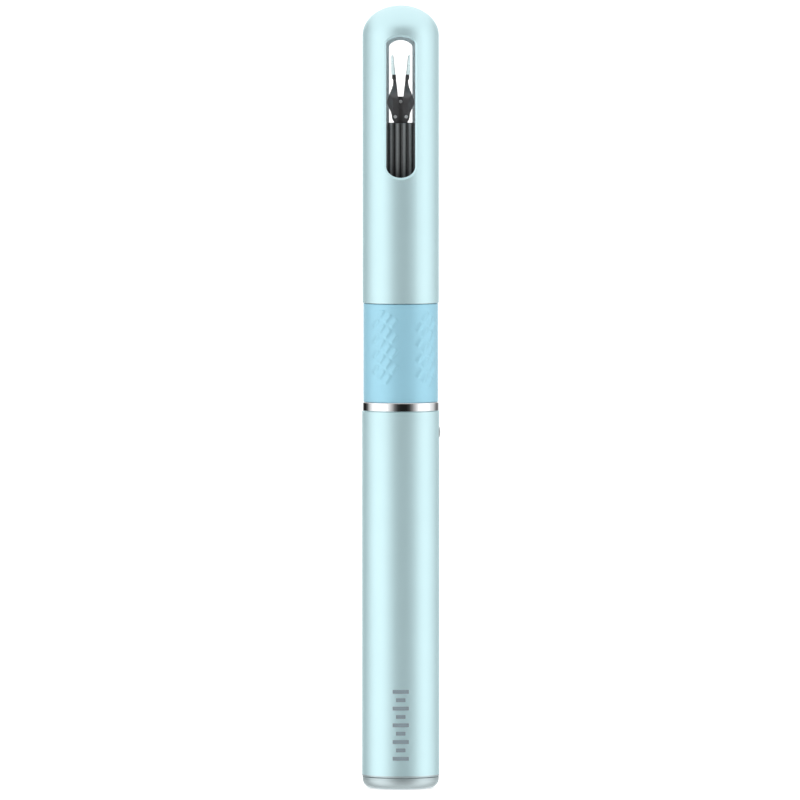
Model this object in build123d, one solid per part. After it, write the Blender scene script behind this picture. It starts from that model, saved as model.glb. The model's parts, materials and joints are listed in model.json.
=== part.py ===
from build123d import *
import math
import os

# A pen-shaped camera ear cleaner with micro tweezers, standing on its end cap.
# +Z runs up the pen's axis, the origin is the centre of the bottom face,
# -Y is the front and the power button is on +X. Millimetres throughout.

# ---- driving dimensions: outer shape ---------------------------------------
TOTAL_LENGTH = 163.9
CAP_R = 8.0
CAP_WALL = 0.8
CAP_EDGE_Z = 101.7
DOME_HEIGHT = 6.3
DOME_ARC_DEG = 89.5            # the arc stops just short of the axis
BARREL_R = 8.1
BARREL_INNER_R = 7.2
BARREL_Z = (2.5, 79.1)
END_CAP_TOP_Z = 2.4
BASE_FLAT_R = 6.0
RING_Z = (79.15, 80.9)
GRIP_R = 7.85
GRIP_INNER_R = 6.65
GRIP_Z = (81.05, 101.45)
FIT = 0.02                     # gap between pieces that are fixed together
RUN = 0.05                     # radial clearance of a running fit

# slot through the cap: the back opening is a little narrower and lower
SLOT_HALF_W = 3.03
SLOT_BACK_INSET = 0.6
SLOT_BACK_DROP = 0.9
SLOT_BOTTOM_Z = 128.0
SLOT_BOTTOM_RISE = 2.35        # height of the half ellipse at the bottom
SLOT_SHOULDER_Z = 156.25
SLOT_TOP_Z = 157.4
SLOT_TOP_CORNER_R = 0.9
SLOT_BEVEL = 0.45
CAP_LINER_Z = (102.0, 111.9)
CAP_LINER_POCKET_R = 7.45
CAP_LINER_R = 7.17

# power button
BUTTON_Z = 74.6
BUTTON_R = 1.6
BUTTON_PROUD = 0.22
BUTTON_TRAVEL = 0.2
BUTTON_DOME = 0.42             # height of the button's crown
BUTTON_CROWN_R = 0.05          # its tiny flat top
BUTTON_FLANGE_R = 2.0
BUTTON_FLANGE_X = (6.45, 6.85)

# ---- driving dimensions: front end ------------------------------------------
COLLAR_R = 7.1
COLLAR_Z = (101.6, 108.0)
COLLAR_GROOVE_Z = (104.4, 105.4)
GROOVE_DEPTH = 0.5
NOSE_TOP_Z = 125.0
TUBE_R = 3.6
TUBE_INNER_R = 3.1
TUBE_Z = (104.2, 139.3)
FLUTE_COUNT = 16
FLUTE_R = 0.42
FLUTE_DEPTH = 0.2

# camera
CAMERA_R = 1.45
CAMERA_BORE_R = 1.2
CAMERA_Z = (137.0, 144.8)

# jaws and the bracket that carries them
JAW_PIVOT_X = 1.16
JAW_PIVOT_Z = 140.65
JAW_PIN_R = 0.375
JAW_CLOSE_DEG = 6.5
EAR_Y = (1.95, 2.7)            # front and back layers of a jaw
TAIL_Y = (1.95, 2.5)           # the tails and the wedge share this layer
PLATE_Y = (1.5, 1.85)          # the bracket's plates lie behind the ears
TAIL_NOSE = (0.80, 137.40)
TAIL_NOSE_R = 0.35
KNOB_Z = 149.4
TIP_TOP_Z = 153.6

# pusher, levers and return spring
PUSH_TRAVEL = 2.0
PUSH_R = TUBE_INNER_R - RUN
PUSH_INNER_R = 2.55
PUSH_Z = (94.0, 134.0)
LEVER_PIVOT_X = 5.0
LEVER_PIVOT_Z = 83.0
LEVER_PIN_R = 0.5
LEVER_CLOSE_DEG = 5.5
LEVER_NOSE = (5.24, 96.8)
LEVER_NOSE_R = 0.6
LEVER_R = (5.35, 6.5)
LEVER_Z = (84.8, 97.4)
LEVER_EDGE_X = 2.9
MESH_GAP = 0.03                # gap left where one moving piece drives another
CONE_TOP_R = 4.95
CONE_FLANGE = 0.65
SPRING_WIRE_R = 0.3
SPRING_MEAN_R = 3.6
SPRING_TURNS = 3
SPRING_TOP_Z = 102.65

# grip cage
CAGE_R = 6.6
CAGE_INNER_R = 5.05
CAGE_SPIGOT_Z = 77.0
CAGE_REAR_Z = 81.2
CAGE_FRONT_Z = 98.6
CAGE_TOP_Z = 104.0
CAGE_NECK_R = 6.0
PILLAR_HALF_W = 1.2

# battery and boards
CELL_R = 5.0
CELL_Y = 1.8
CELL_Z = (10.0, 48.0)
BOARD_Y = (-4.9, -4.1)
BOARD_HALF_W = 4.8
BOARD_Z = (8.0, 76.3)
TRAY_Z = (7.0, 62.0)
FLEX_HALF_W = 1.1
FLEX_THICK = 0.2

# ---- small builders ---------------------------------------------------------


def disc(radius, z0, z1, x=0.0, y=0.0):
    """A solid cylinder standing from z0 to z1."""
    return Pos(x, y, (z0 + z1) / 2) * Cylinder(radius, z1 - z0)


def tube(outer, inner, z0, z1):
    """A plain ring or tube about the pen's axis."""
    return disc(outer, z0, z1) - disc(inner, z0 - 1, z1 + 1)


def block(x, y, z):
    """A box given as three (low, high) pairs."""
    size = (x[1] - x[0], y[1] - y[0], z[1] - z[0])
    centre = ((x[0] + x[1]) / 2, (y[0] + y[1]) / 2, (z[0] + z[1]) / 2)
    return Pos(*centre) * Box(*size)


def lathe(points):
    """Turn a closed (radius, z) outline about the pen's axis."""
    face = make_face(Polyline(*points, close=True))
    return revolve(Plane.XZ * face, Axis.Z, 360)


def rod_x(radius, x0, x1, y, z):
    """A cylinder along X."""
    return Pos((x0 + x1) / 2, y, z) * Rot(0, 90, 0) * Cylinder(radius, x1 - x0)


def rod_y(radius, y0, y1, x, z):
    """A cylinder along Y."""
    return Pos(x, (y0 + y1) / 2, z) * Rot(90, 0, 0) * Cylinder(radius, y1 - y0)


def plate_xz(face, y0, y1):
    """Extrude a face drawn in X and Z so that it spans y0 to y1."""
    solid = extrude(face, (y1 - y0) / 2, both=True)
    return Pos(0, (y0 + y1) / 2, 0) * (Plane.XZ * solid)


def plate_yz(face, x0, x1):
    """Extrude a face drawn in Y and Z so that it spans x0 to x1."""
    solid = extrude(face, (x1 - x0) / 2, both=True)
    return Pos((x0 + x1) / 2, 0, 0) * (Plane.YZ * solid)


def outline(points):
    """A face with straight sides."""
    return make_face(Polyline(*points, close=True))


def both_sides(shape):
    """A shape and its mirror image across the plane X = 0."""
    return [shape, mirror(shape, Plane.YZ)]


def front_and_back(shape):
    """A shape and its mirror image across the plane Y = 0."""
    return [shape, mirror(shape, Plane.XZ)]


def o_ring(radius, section, z):
    """A torus about the pen's axis."""
    return Pos(0, 0, z) * Torus(radius, section)


# ---- barrel and end cap -----------------------------------------------------

MARK_DEPTH = 0.12
MARK_BARS = 9
MARK_Z0 = 6.2
MARK_PITCH = 1.75
MARK_BAR_H = 0.8
MARK_HALF_W = (1.0, 1.7)       # short and long bars take turns


def mark_bars(growth):
    """Cutters for the row of plain bars on the front of the barrel."""
    bars = []
    for i in range(MARK_BARS):
        half_w = MARK_HALF_W[1 - i % 2] - growth
        z = MARK_Z0 + i * MARK_PITCH
        bars.append(block((-half_w, half_w), (-10, -5), (z + growth, z + MARK_BAR_H - growth)))
    return bars


def barrel_tube():
    z0, z1 = BARREL_Z
    chamfer_w = 0.15
    body = lathe([
        (BARREL_INNER_R, z0), (BARREL_R - chamfer_w, z0), (BARREL_R, z0 + chamfer_w),
        (BARREL_R, z1 - chamfer_w), (BARREL_R - chamfer_w, z1), (BARREL_INNER_R, z1)])
    body -= rod_x(BUTTON_R + RUN, 5, 10, 0, BUTTON_Z)
    skin = tube(BARREL_R + 1, BARREL_R - MARK_DEPTH, MARK_Z0 - 1, 30)
    for bar in mark_bars(0):
        body -= skin & bar
    return [body]


def mark_inlay():
    skin = tube(BARREL_R - 0.01, BARREL_R - MARK_DEPTH + 0.01, MARK_Z0 - 1, 30)
    return [skin & bar for bar in mark_bars(FIT)]


CUP_R = 5.6
CUP_FLOOR_Z = 1.4
CONTACT_X = 2.5
CONTACT_R = 1.0
MAGNET_Y = 3.6


def end_cap():
    spigot_r = BARREL_INNER_R - 0.1
    groove = (4.2, 5.2)
    with BuildSketch() as section:
        with BuildLine():
            Line((0, 0), (BASE_FLAT_R, 0))
            ThreePointArc((BASE_FLAT_R, 0), (7.42, 0.62), (8.0, 2.05))
            Polyline(
                (8.0, 2.05), (8.0, END_CAP_TOP_Z), (spigot_r, END_CAP_TOP_Z),
                (spigot_r, groove[0]), (spigot_r - GROOVE_DEPTH, groove[0]),
                (spigot_r - GROOVE_DEPTH, groove[1]), (spigot_r, groove[1]),
                (spigot_r, 6.4), (CUP_R, 6.4), (CUP_R, CUP_FLOOR_Z), (0, CUP_FLOOR_Z), (0, 0))
        make_face()
    body = revolve(Plane.XZ * section.sketch, Axis.Z, 360)
    for x in (-CONTACT_X, CONTACT_X):
        body -= disc(CONTACT_R + FIT, -1, 3, x)
    return [body]


def end_cap_o_ring():
    return [o_ring(6.9, 0.27, 4.7)]


def charge_contacts():
    pins = []
    for x in (-CONTACT_X, CONTACT_X):
        pin = disc(CONTACT_R, 0.1, CUP_FLOOR_Z + 0.1, x)
        pin += disc(1.5, CUP_FLOOR_Z + FIT, 1.9, x)
        pin += disc(0.5, 1.8, 3.95, x)
        pins.append(pin)
    return pins


def dock_magnets():
    return [disc(1.5, CUP_FLOOR_Z + FIT, 3.2, 0, y) for y in (-MAGNET_Y, MAGNET_Y)]


def charge_board():
    return [disc(5.4, 4.0, 4.8)]


def charge_leads():
    return [disc(0.35, 4.82, BOARD_Z[0] - FIT, x, sum(BOARD_Y) / 2) for x in (-1.5, 1.5)]


# ---- battery, boards and button --------------------------------------------

TRAY_R = 7.1
TRAY_PLATE_Y = (-4.05, -3.3)
TRAY_WALL_Z = (49.8, 51.0)
SCREW_Z = (12.0, 60.0)


def carrier_tray():
    z0, z1 = TRAY_Z
    body = disc(TRAY_R, z0, z1) & block((-8, 8), (TRAY_PLATE_Y[0], 3.2), (z0, z1))
    body -= disc(CELL_R + 0.1, CELL_Z[0] - 0.2, TRAY_WALL_Z[0], 0, CELL_Y)
    body -= block((-8, 8), (TRAY_PLATE_Y[1], 8), (TRAY_WALL_Z[1], z1 + 1))
    body -= disc(2.2, z0 - 1, CELL_Z[0], 0, 0.5)
    for z in SCREW_Z:
        body -= rod_y(0.62, -5, -3.35, 0, z)
    return [body]


def battery_cell():
    z0, z1 = CELL_Z
    body = disc(CELL_R, z0, z1 - 1.2, 0, CELL_Y)
    body = fillet(body.edges().filter_by(GeomType.CIRCLE), 0.4)
    return [body + disc(1.6, z1 - 1.3, z1, 0, CELL_Y)]


def battery_pad():
    return [disc(4.4, CELL_Z[1] + FIT, TRAY_WALL_Z[0] - FIT, 0, CELL_Y)]


def main_board():
    body = block((-BOARD_HALF_W, BOARD_HALF_W), BOARD_Y, BOARD_Z)
    for z in SCREW_Z:
        body -= rod_y(0.62, -6, -3, 0, z)
    return [body]


def on_board(half_w, height, z0, z1):
    """A component soldered to the outer face of the main board."""
    face = BOARD_Y[0] - FIT
    return block((-half_w, half_w), (face - height, face), (z0, z1))


def shield_can():
    outer = on_board(3.3, 1.15, 36, 54)
    face = BOARD_Y[0]
    return [outer - block((-3.1, 3.1), (face - 0.97, face + 1), (36.2, 53.8))]


def board_chips():
    places = ((2.2, 0.8, 16, 20.5), (1.5, 0.7, 23, 26), (2.8, 0.9, 28, 33.5), (1.2, 0.6, 63, 65.4))
    return [on_board(*place) for place in places]


def wifi_antenna():
    return [on_board(2.6, 0.8, 69, 70.6)]


def board_screws():
    screws = []
    for z in SCREW_Z:
        head = rod_y(1.1, BOARD_Y[0] - FIT - 0.7, BOARD_Y[0] - FIT, 0, z)
        shank = rod_y(0.55, BOARD_Y[0] - 0.1, -3.45, 0, z)
        slot = block((-2, 2), (-8, BOARD_Y[0] - 0.45), (z - 0.15, z + 0.15))
        screws.append(head + shank - slot)
    return screws


BUTTON_BOARD_X = (4.0, 4.7)


def button_board():
    return [block(BUTTON_BOARD_X, (-3.6, 3.0), (71.2, 76.4))]


def tact_switch():
    x0 = BUTTON_BOARD_X[1] + FIT
    case = block((x0, 5.6), (-1.6, 1.6), (BUTTON_Z - 1.4, BUTTON_Z + 1.4))
    plunger = rod_x(0.8, 5.5, BUTTON_FLANGE_X[0] - BUTTON_TRAVEL - 0.04, 0, BUTTON_Z)
    return [case + plunger]


def power_button():
    """A domed button: the profile is turned about Z, then laid along X."""
    flange_in, flange_out = BUTTON_FLANGE_X
    groove = (7.25, 7.75)
    groove_r = 1.15
    tip_x = BARREL_R + BUTTON_PROUD
    with BuildSketch() as section:
        with BuildLine():
            Polyline(
                (0, tip_x), (0, flange_in), (BUTTON_FLANGE_R, flange_in),
                (BUTTON_FLANGE_R, flange_out), (BUTTON_R, flange_out), (BUTTON_R, groove[0]),
                (groove_r, groove[0]), (groove_r, groove[1]), (BUTTON_R, groove[1]),
                (BUTTON_R, tip_x - BUTTON_DOME))
            ThreePointArc((BUTTON_R, tip_x - BUTTON_DOME), (BUTTON_R / 2, tip_x - BUTTON_DOME * 0.24),
                          (BUTTON_CROWN_R, tip_x))
            Line((BUTTON_CROWN_R, tip_x), (0, tip_x))
        make_face()
    turned = revolve(Plane.XZ * section.sketch, Axis.Z, 360)
    return [Pos(0, 0, BUTTON_Z) * (Rot(0, 90, 0) * turned)]


def button_o_ring():
    ring = Pos(7.5, 0, BUTTON_Z) * Rot(0, 90, 0) * Torus(1.38, 0.22)
    return [ring]


# ---- grip -------------------------------------------------------------------


def chrome_ring():
    z0, z1 = RING_Z
    inner = CAGE_R + 0.05
    bevel = 0.08
    return [lathe([
        (inner, z0), (BARREL_R - bevel, z0), (BARREL_R, z0 + bevel),
        (BARREL_R, z1 - bevel), (BARREL_R - bevel, z1), (inner, z1)])]


EAR_R = 0.9
LEVER_KNUCKLE_Y = 1.75
LEVER_EAR_Y = (1.85, 2.7)


def grip_cage():
    body = tube(CAGE_R, CAGE_INNER_R, RING_Z[0] - 0.05, CAGE_TOP_Z)
    body += tube(BARREL_INNER_R - 0.1, CAGE_INNER_R, CAGE_SPIGOT_Z, RING_Z[0] - 0.05)
    body -= tube(CAGE_R + 1, CAGE_NECK_R, GRIP_Z[1], CAGE_TOP_Z + 1)
    body += tube(CAGE_NECK_R, TUBE_INNER_R, 103.0, CAGE_TOP_Z)
    for side in both_sides(block((PILLAR_HALF_W, 8), (-8, 8), (CAGE_REAR_Z, CAGE_FRONT_Z))):
        body -= side
    for low in (-LEVER_EAR_Y[1], LEVER_EAR_Y[0]):
        high = low + LEVER_EAR_Y[1] - LEVER_EAR_Y[0]
        ear = block((LEVER_PIVOT_X - EAR_R, LEVER_PIVOT_X + EAR_R), (low, high), (80, LEVER_PIVOT_Z))
        ear += rod_y(EAR_R, low, high, LEVER_PIVOT_X, LEVER_PIVOT_Z)
        ear -= rod_y(LEVER_PIN_R + 0.01, low - 1, high + 1, LEVER_PIVOT_X, LEVER_PIVOT_Z)
        for side in both_sides(ear):
            body += side
    return [body]


def lever_pins():
    pin = rod_y(LEVER_PIN_R, -LEVER_EAR_Y[1], LEVER_EAR_Y[1], LEVER_PIVOT_X, LEVER_PIVOT_Z)
    return both_sides(pin)


def grip_sleeve():
    return [tube(GRIP_R, GRIP_INNER_R, *GRIP_Z)]


def lever():
    """The +X squeeze lever: saddle, nose, web and hinge knuckle."""
    z0, z1 = LEVER_Z
    body = tube(LEVER_R[1], LEVER_R[0], z0, z1)
    body &= block((LEVER_EDGE_X, 8), (-8, 8), (z0, z1))
    knuckle_y = (-LEVER_KNUCKLE_Y, LEVER_KNUCKLE_Y)
    web_x = (LEVER_PIVOT_X - 0.75, LEVER_R[1] - 0.3)
    body += block(web_x, knuckle_y, (LEVER_PIVOT_Z, z0 + 1.2))
    body += rod_y(EAR_R, *knuckle_y, LEVER_PIVOT_X, LEVER_PIVOT_Z)
    body -= rod_y(LEVER_PIN_R + RUN, -4, 4, LEVER_PIVOT_X, LEVER_PIVOT_Z)
    body += rod_y(LEVER_NOSE_R, -1.2, 1.2, *LEVER_NOSE)
    return body


def lever_left():
    return [mirror(lever(), Plane.YZ)]


def lever_right():
    return [lever()]


def rotated(point, pivot, degrees):
    """Turn an (x, z) point about a pivot so that its top moves towards -X."""
    a = math.radians(degrees)
    x = point[0] - pivot[0]
    z = point[1] - pivot[1]
    return (pivot[0] + x * math.cos(a) - z * math.sin(a), pivot[1] + z * math.cos(a) + x * math.sin(a))


def cone_line():
    """Height gained per radius on the cone, and its height at the top radius."""
    closed = rotated(LEVER_NOSE, (LEVER_PIVOT_X, LEVER_PIVOT_Z), LEVER_CLOSE_DEG)
    inward = LEVER_NOSE[0] - closed[0]
    drop = LEVER_NOSE[1] - closed[1]
    slope = (PUSH_TRAVEL + drop) / inward
    reach = (LEVER_NOSE_R + MESH_GAP) * math.sqrt(1 + slope ** 2)
    top_z = LEVER_NOSE[1] + reach + slope * (CONE_TOP_R - LEVER_NOSE[0])
    return slope, top_z


CONE_SLOPE, CONE_TOP_Z = cone_line()
CONE_FOOT_R = PUSH_R + 0.25
CONE_FOOT_Z = CONE_TOP_Z - CONE_SLOPE * (CONE_TOP_R - CONE_FOOT_R)
FLANGE_TOP_Z = CONE_TOP_Z + CONE_FLANGE


def drive_cone():
    bore = PUSH_R + FIT / 2
    return [lathe([
        (bore, CONE_FOOT_Z), (CONE_FOOT_R, CONE_FOOT_Z), (CONE_TOP_R, CONE_TOP_Z),
        (CONE_TOP_R, FLANGE_TOP_Z), (bore, FLANGE_TOP_Z)])]


def push_tube():
    return [tube(PUSH_R, PUSH_INNER_R, *PUSH_Z)]


def return_spring():
    foot = FLANGE_TOP_Z + SPRING_WIRE_R + FIT
    height = SPRING_TOP_Z - SPRING_WIRE_R - foot
    path = Pos(0, 0, foot) * Helix(height / SPRING_TURNS, height, SPRING_MEAN_R)
    wire = Plane(origin=path @ 0, z_dir=path % 0) * Circle(SPRING_WIRE_R)
    return [sweep(wire, path)]


def spring_washer():
    return [tube(4.8, PUSH_R + 0.2, SPRING_TOP_Z + FIT, 103.0 - FIT)]


# ---- nose and front tube ----------------------------------------------------


def nose_cone():
    z0, z1 = COLLAR_Z
    groove_r = COLLAR_R - GROOVE_DEPTH
    bore = TUBE_R + FIT / 2
    cage_bore = CAGE_NECK_R + FIT
    return [lathe([
        (cage_bore, z0), (COLLAR_R, z0), (COLLAR_R, COLLAR_GROOVE_Z[0]),
        (groove_r, COLLAR_GROOVE_Z[0]), (groove_r, COLLAR_GROOVE_Z[1]),
        (COLLAR_R, COLLAR_GROOVE_Z[1]), (COLLAR_R, z1 - 0.4), (COLLAR_R - 0.4, z1),
        (6.3, z1), (6.0, z1 + 1.2), (5.35, 114.0), (4.6, 120.0), (4.15, NOSE_TOP_Z - 0.4),
        (3.9, NOSE_TOP_Z), (bore, NOSE_TOP_Z), (bore, CAGE_TOP_Z + FIT),
        (cage_bore, CAGE_TOP_Z + FIT)])]


def nose_o_ring():
    return [o_ring(6.87, 0.25, sum(COLLAR_GROOVE_Z) / 2)]


def front_tube():
    z0, z1 = TUBE_Z
    body = tube(TUBE_R, TUBE_INNER_R, z0, z1)
    centre = TUBE_R + FLUTE_R - FLUTE_DEPTH
    for i in range(FLUTE_COUNT):
        angle = 2 * math.pi * i / FLUTE_COUNT
        x = centre * math.sin(angle)
        y = -centre * math.cos(angle)
        body -= disc(FLUTE_R, NOSE_TOP_Z + 0.3, z1 + 1, x, y)
    return [body]


# ---- camera -----------------------------------------------------------------

SENSOR_Z = (140.2, 140.7)
LENS_CELL_Z = (141.2, 143.9)
LENS_Z = (143.95, 144.5)
LIGHT_RING_R = (0.86, CAMERA_BORE_R - FIT)
SCREW_DOT_Z = 143.8


def camera_barrel():
    z0, z1 = CAMERA_Z
    body = tube(CAMERA_R, CAMERA_BORE_R, z0, z1)
    body -= rod_y(0.24, -2, 2, 0, SCREW_DOT_Z)
    return [body]


def image_sensor_board():
    return [disc(CAMERA_BORE_R - FIT, *SENSOR_Z)]


def lens_cell():
    return [tube(CAMERA_BORE_R - FIT, 0.8, *LENS_CELL_Z) - disc(0.9, 143.4, 145)]


def camera_lens():
    body = disc(0.78, *LENS_Z)
    dome = Pos(0, 0, LENS_Z[1] - 1.9) * Sphere(1.9)
    return [body & dome]


def light_ring():
    return [tube(LIGHT_RING_R[1], LIGHT_RING_R[0], 143.95, 144.7)]


def camera_flex():
    """A flat ribbon from the sensor down the axis and back to the main board."""
    back_y = BOARD_Y[1] + FLEX_THICK / 2 + FIT
    with BuildLine() as path:
        FilletPolyline(
            (0, SENSOR_Z[0] - FIT), (0, 82.0), (back_y, 74.0), (back_y, 65.0), radius=6.0)
    band = Plane.YZ * path.line
    section = Plane(origin=band @ 0, z_dir=band % 0, x_dir=(1, 0, 0))
    return [sweep(section * Rectangle(2 * FLEX_HALF_W, FLEX_THICK), band)]


# ---- jaws -------------------------------------------------------------------


def wedge_half_width(z):
    """Half width of the wedge at height z, from the jaw tails that it spreads."""
    closed = rotated(TAIL_NOSE, (JAW_PIVOT_X, JAW_PIVOT_Z), JAW_CLOSE_DEG)
    slope = (closed[0] - TAIL_NOSE[0]) / (PUSH_TRAVEL + TAIL_NOSE[1] - closed[1])
    reach = (TAIL_NOSE_R + MESH_GAP) * math.sqrt(1 + slope ** 2)
    return TAIL_NOSE[0] - reach + slope * (TAIL_NOSE[1] - z)


WEDGE_TIP_Z = 139.0
WEDGE_SHOULDER_Z = 135.2
FORK_RING_Z = (131.0, 134.1)


def wedge_fork():
    tip = wedge_half_width(WEDGE_TIP_Z)
    shoulder = wedge_half_width(WEDGE_SHOULDER_Z)
    foot_z = FORK_RING_Z[1] - 0.1
    body = tube(PUSH_INNER_R - FIT / 2, 1.9, *FORK_RING_Z)
    prong = outline([
        (-shoulder, foot_z), (shoulder, foot_z), (shoulder, WEDGE_SHOULDER_Z),
        (tip, WEDGE_TIP_Z), (-tip, WEDGE_TIP_Z), (-shoulder, WEDGE_SHOULDER_Z)])
    solid = plate_xz(prong, *TAIL_Y) & disc(PUSH_INNER_R - FIT / 2, foot_z, 140)
    for part in front_and_back(solid):
        body += part
    return [body]


BRACKET_BASE_Z = (136.6, 139.1)
BRACKET_HALF_W = (1.05, 1.25)
BRACKET_TOP_Z = 144.55
BOSS_R = 0.72


def bracket_plate():
    foot, top = BRACKET_HALF_W
    sheet = outline([
        (-foot, BRACKET_BASE_Z[1] - 0.3), (foot, BRACKET_BASE_Z[1] - 0.3), (foot, JAW_PIVOT_Z),
        (top, JAW_PIVOT_Z + 1.0), (top, BRACKET_TOP_Z - 0.4), (top - 0.4, BRACKET_TOP_Z),
        (0.4 - top, BRACKET_TOP_Z), (-top, BRACKET_TOP_Z - 0.4), (-top, JAW_PIVOT_Z + 1.0),
        (-foot, JAW_PIVOT_Z)])
    plate = plate_xz(sheet, *PLATE_Y)
    for x in (-JAW_PIVOT_X, JAW_PIVOT_X):
        plate += rod_y(BOSS_R, *PLATE_Y, x, JAW_PIVOT_Z)
    return plate


def jaw_bracket():
    base = disc(TUBE_INNER_R - FIT, *BRACKET_BASE_Z)
    base &= block((-4, 4), (-PLATE_Y[1], PLATE_Y[1]), BRACKET_BASE_Z)
    base -= disc(CAMERA_R + FIT, 130, 150)
    for plate in front_and_back(bracket_plate()):
        base += plate
    for x in (-JAW_PIVOT_X, JAW_PIVOT_X):
        base -= rod_y(JAW_PIN_R + 0.01, -4, 4, x, JAW_PIVOT_Z)
    base -= rod_y(0.4, -4, 4, 0, SCREW_DOT_Z)
    return [base]


def bracket_screws():
    head = rod_y(0.38, CAMERA_R + 0.01, PLATE_Y[1] + 0.06, 0, SCREW_DOT_Z)
    shank = rod_y(0.22, CAMERA_BORE_R + FIT, CAMERA_R + 0.1, 0, SCREW_DOT_Z)
    return front_and_back(head + shank)


def jaw_pivot_pins():
    pins = []
    for x in (-JAW_PIVOT_X, JAW_PIVOT_X):
        pins += front_and_back(rod_y(JAW_PIN_R, 1.3, EAR_Y[1] + 0.06, x, JAW_PIVOT_Z))
    return pins


def jaw_front_face():
    """The +X jaw seen from the front."""
    with BuildSketch() as face:
        with BuildLine():
            Polyline((0.42, 139.6), (1.05, 139.4))
            Spline(
                (1.05, 139.4), (1.62, 139.85), (1.92, 141.1), (2.45, 142.45), (2.85, 143.6),
                (2.6, 144.6), (2.34, 145.3), (2.0, 146.1), (1.68, 147.1), (1.58, 147.9))
            Polyline(
                (1.58, 147.9), (1.58, 148.25), (1.8, 148.6), (1.8, KNOB_Z), (1.04, KNOB_Z),
                (0.95, 148.6), (0.95, 148.25), (0.9, 147.8), (0.75, 146.6), (0.6, 145.2),
                (0.52, 144.0), (0.45, 142.0), (0.42, 139.6))
        make_face()
    return face.sketch


def jaw_side_face():
    """Both jaws seen from the side."""
    with BuildSketch() as face:
        with BuildLine():
            Line((0, 139), (EAR_Y[1], 139))
            Line((EAR_Y[1], 139), (EAR_Y[1], 143.6))
            Spline((EAR_Y[1], 143.6), (2.5, 144.7), (1.75, 146.0), (1.0, 147.1), (0.72, 148.2))
            Polyline((0.72, 148.2), (0.95, 148.6), (0.95, KNOB_Z), (0, KNOB_Z), (0, 139))
        make_face()
        mirror(about=Plane.YZ)
    return face.sketch


JAW_ROUND_R = 3.15
HOLLOW_TOP_Z = 145.1
HOLLOW_WALL_Z = 142.7


def jaw():
    """The +X jaw, from its tail to the knob that carries the tip."""
    body = plate_xz(jaw_front_face(), -EAR_Y[1], EAR_Y[1])
    body &= plate_yz(jaw_side_face(), 0, 4)
    body &= disc(JAW_ROUND_R, 139, 150)
    hollow = outline([
        (0, 138), (4, 138), (4, HOLLOW_WALL_Z), (2.0, HOLLOW_WALL_Z), (2.25, 143.5),
        (2.1, 144.3), (1.85, HOLLOW_TOP_Z), (0, HOLLOW_TOP_Z)])
    body -= plate_xz(hollow, -EAR_Y[0], EAR_Y[0])
    nose_x, nose_z = TAIL_NOSE
    tail = outline([
        (nose_x - TAIL_NOSE_R, nose_z), (nose_x + TAIL_NOSE_R, nose_z), (1.45, 140.0),
        (0.5, 140.0), (0.45, 139.0)])
    tail_solid = plate_xz(tail, *TAIL_Y) + rod_y(TAIL_NOSE_R, *TAIL_Y, nose_x, nose_z)
    for part in front_and_back(tail_solid):
        body += part
    body -= rod_y(JAW_PIN_R + RUN, -4, 4, JAW_PIVOT_X, JAW_PIVOT_Z)
    body -= tip_peg_pocket()
    return body


TIP_PEG = ((1.45, 1.75), (-0.3, 0.3))
TIP_PEG_Z = 148.9


def tip_peg_pocket():
    (x0, x1), (y0, y1) = TIP_PEG
    return block((x0 - FIT, x1 + FIT), (y0 - FIT, y1 + FIT), (TIP_PEG_Z - FIT, KNOB_Z + 1))


def tip():
    """The soft tip on the +X jaw, rooted in a pocket in the knob."""
    base_z = KNOB_Z + FIT / 2
    with BuildSketch() as front:
        with BuildLine():
            Polyline((1.12, base_z), (1.96, base_z), (2.0, 150.2), (1.98, 153.2))
            ThreePointArc((1.98, 153.2), (1.86, 153.52), (1.7, TIP_TOP_Z))
            Polyline((1.7, TIP_TOP_Z), (1.52, 153.45), (1.32, 151.4), (1.12, base_z))
        make_face()
    with BuildSketch() as side:
        with BuildLine():
            Line((0, base_z), (0.85, base_z))
            Spline((0.85, base_z), (1.0, 151.2), (0.85, 152.9), (0, TIP_TOP_Z))
            Line((0, TIP_TOP_Z), (0, base_z))
        make_face()
        mirror(about=Plane.YZ)
    body = plate_xz(front.sketch, -2, 2) & plate_yz(side.sketch, 0, 4)
    body += block(*TIP_PEG, (TIP_PEG_Z, base_z + 0.1))
    return body


def jaw_left():
    return [mirror(jaw(), Plane.YZ)]


def jaw_right():
    return [jaw()]


def tip_left():
    return [mirror(tip(), Plane.YZ)]


def tip_right():
    return [tip()]


# ---- cap --------------------------------------------------------------------


def slot_face(inset, drop):
    """The slot's outline: a flat arch on top and a half ellipse below."""
    half_w = SLOT_HALF_W - inset
    low = SLOT_BOTTOM_Z + SLOT_BOTTOM_RISE
    high = SLOT_SHOULDER_Z - drop
    with BuildSketch() as face:
        with BuildLine():
            EllipticalCenterArc((0, low), half_w, SLOT_BOTTOM_RISE, 180, arc_size=180)
            Line((half_w, low), (half_w, high))
            ThreePointArc((half_w, high), (0, SLOT_TOP_Z - drop), (-half_w, high))
            Line((-half_w, high), (-half_w, low))
        make_face()
        corners = [v for v in face.vertices() if abs(v.Y - high) < 0.01]
        fillet(corners, SLOT_TOP_CORNER_R)
    return face.sketch


def dome(radius, height, top_z):
    """A cylinder from the cap's edge under a half-ellipse dome with a tiny flat crown."""
    spring_z = top_z - height
    crown = math.radians(DOME_ARC_DEG)
    crown_z = spring_z + height * math.sin(crown)
    with BuildSketch() as section:
        with BuildLine():
            Polyline((radius, spring_z), (radius, CAP_EDGE_Z), (0, CAP_EDGE_Z), (0, crown_z),
                     (radius * math.cos(crown), crown_z))
            EllipticalCenterArc((0, spring_z), radius, height, 0, arc_size=DOME_ARC_DEG)
        make_face()
    return revolve(Plane.XZ * section.sketch, Axis.Z, 360)


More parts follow.
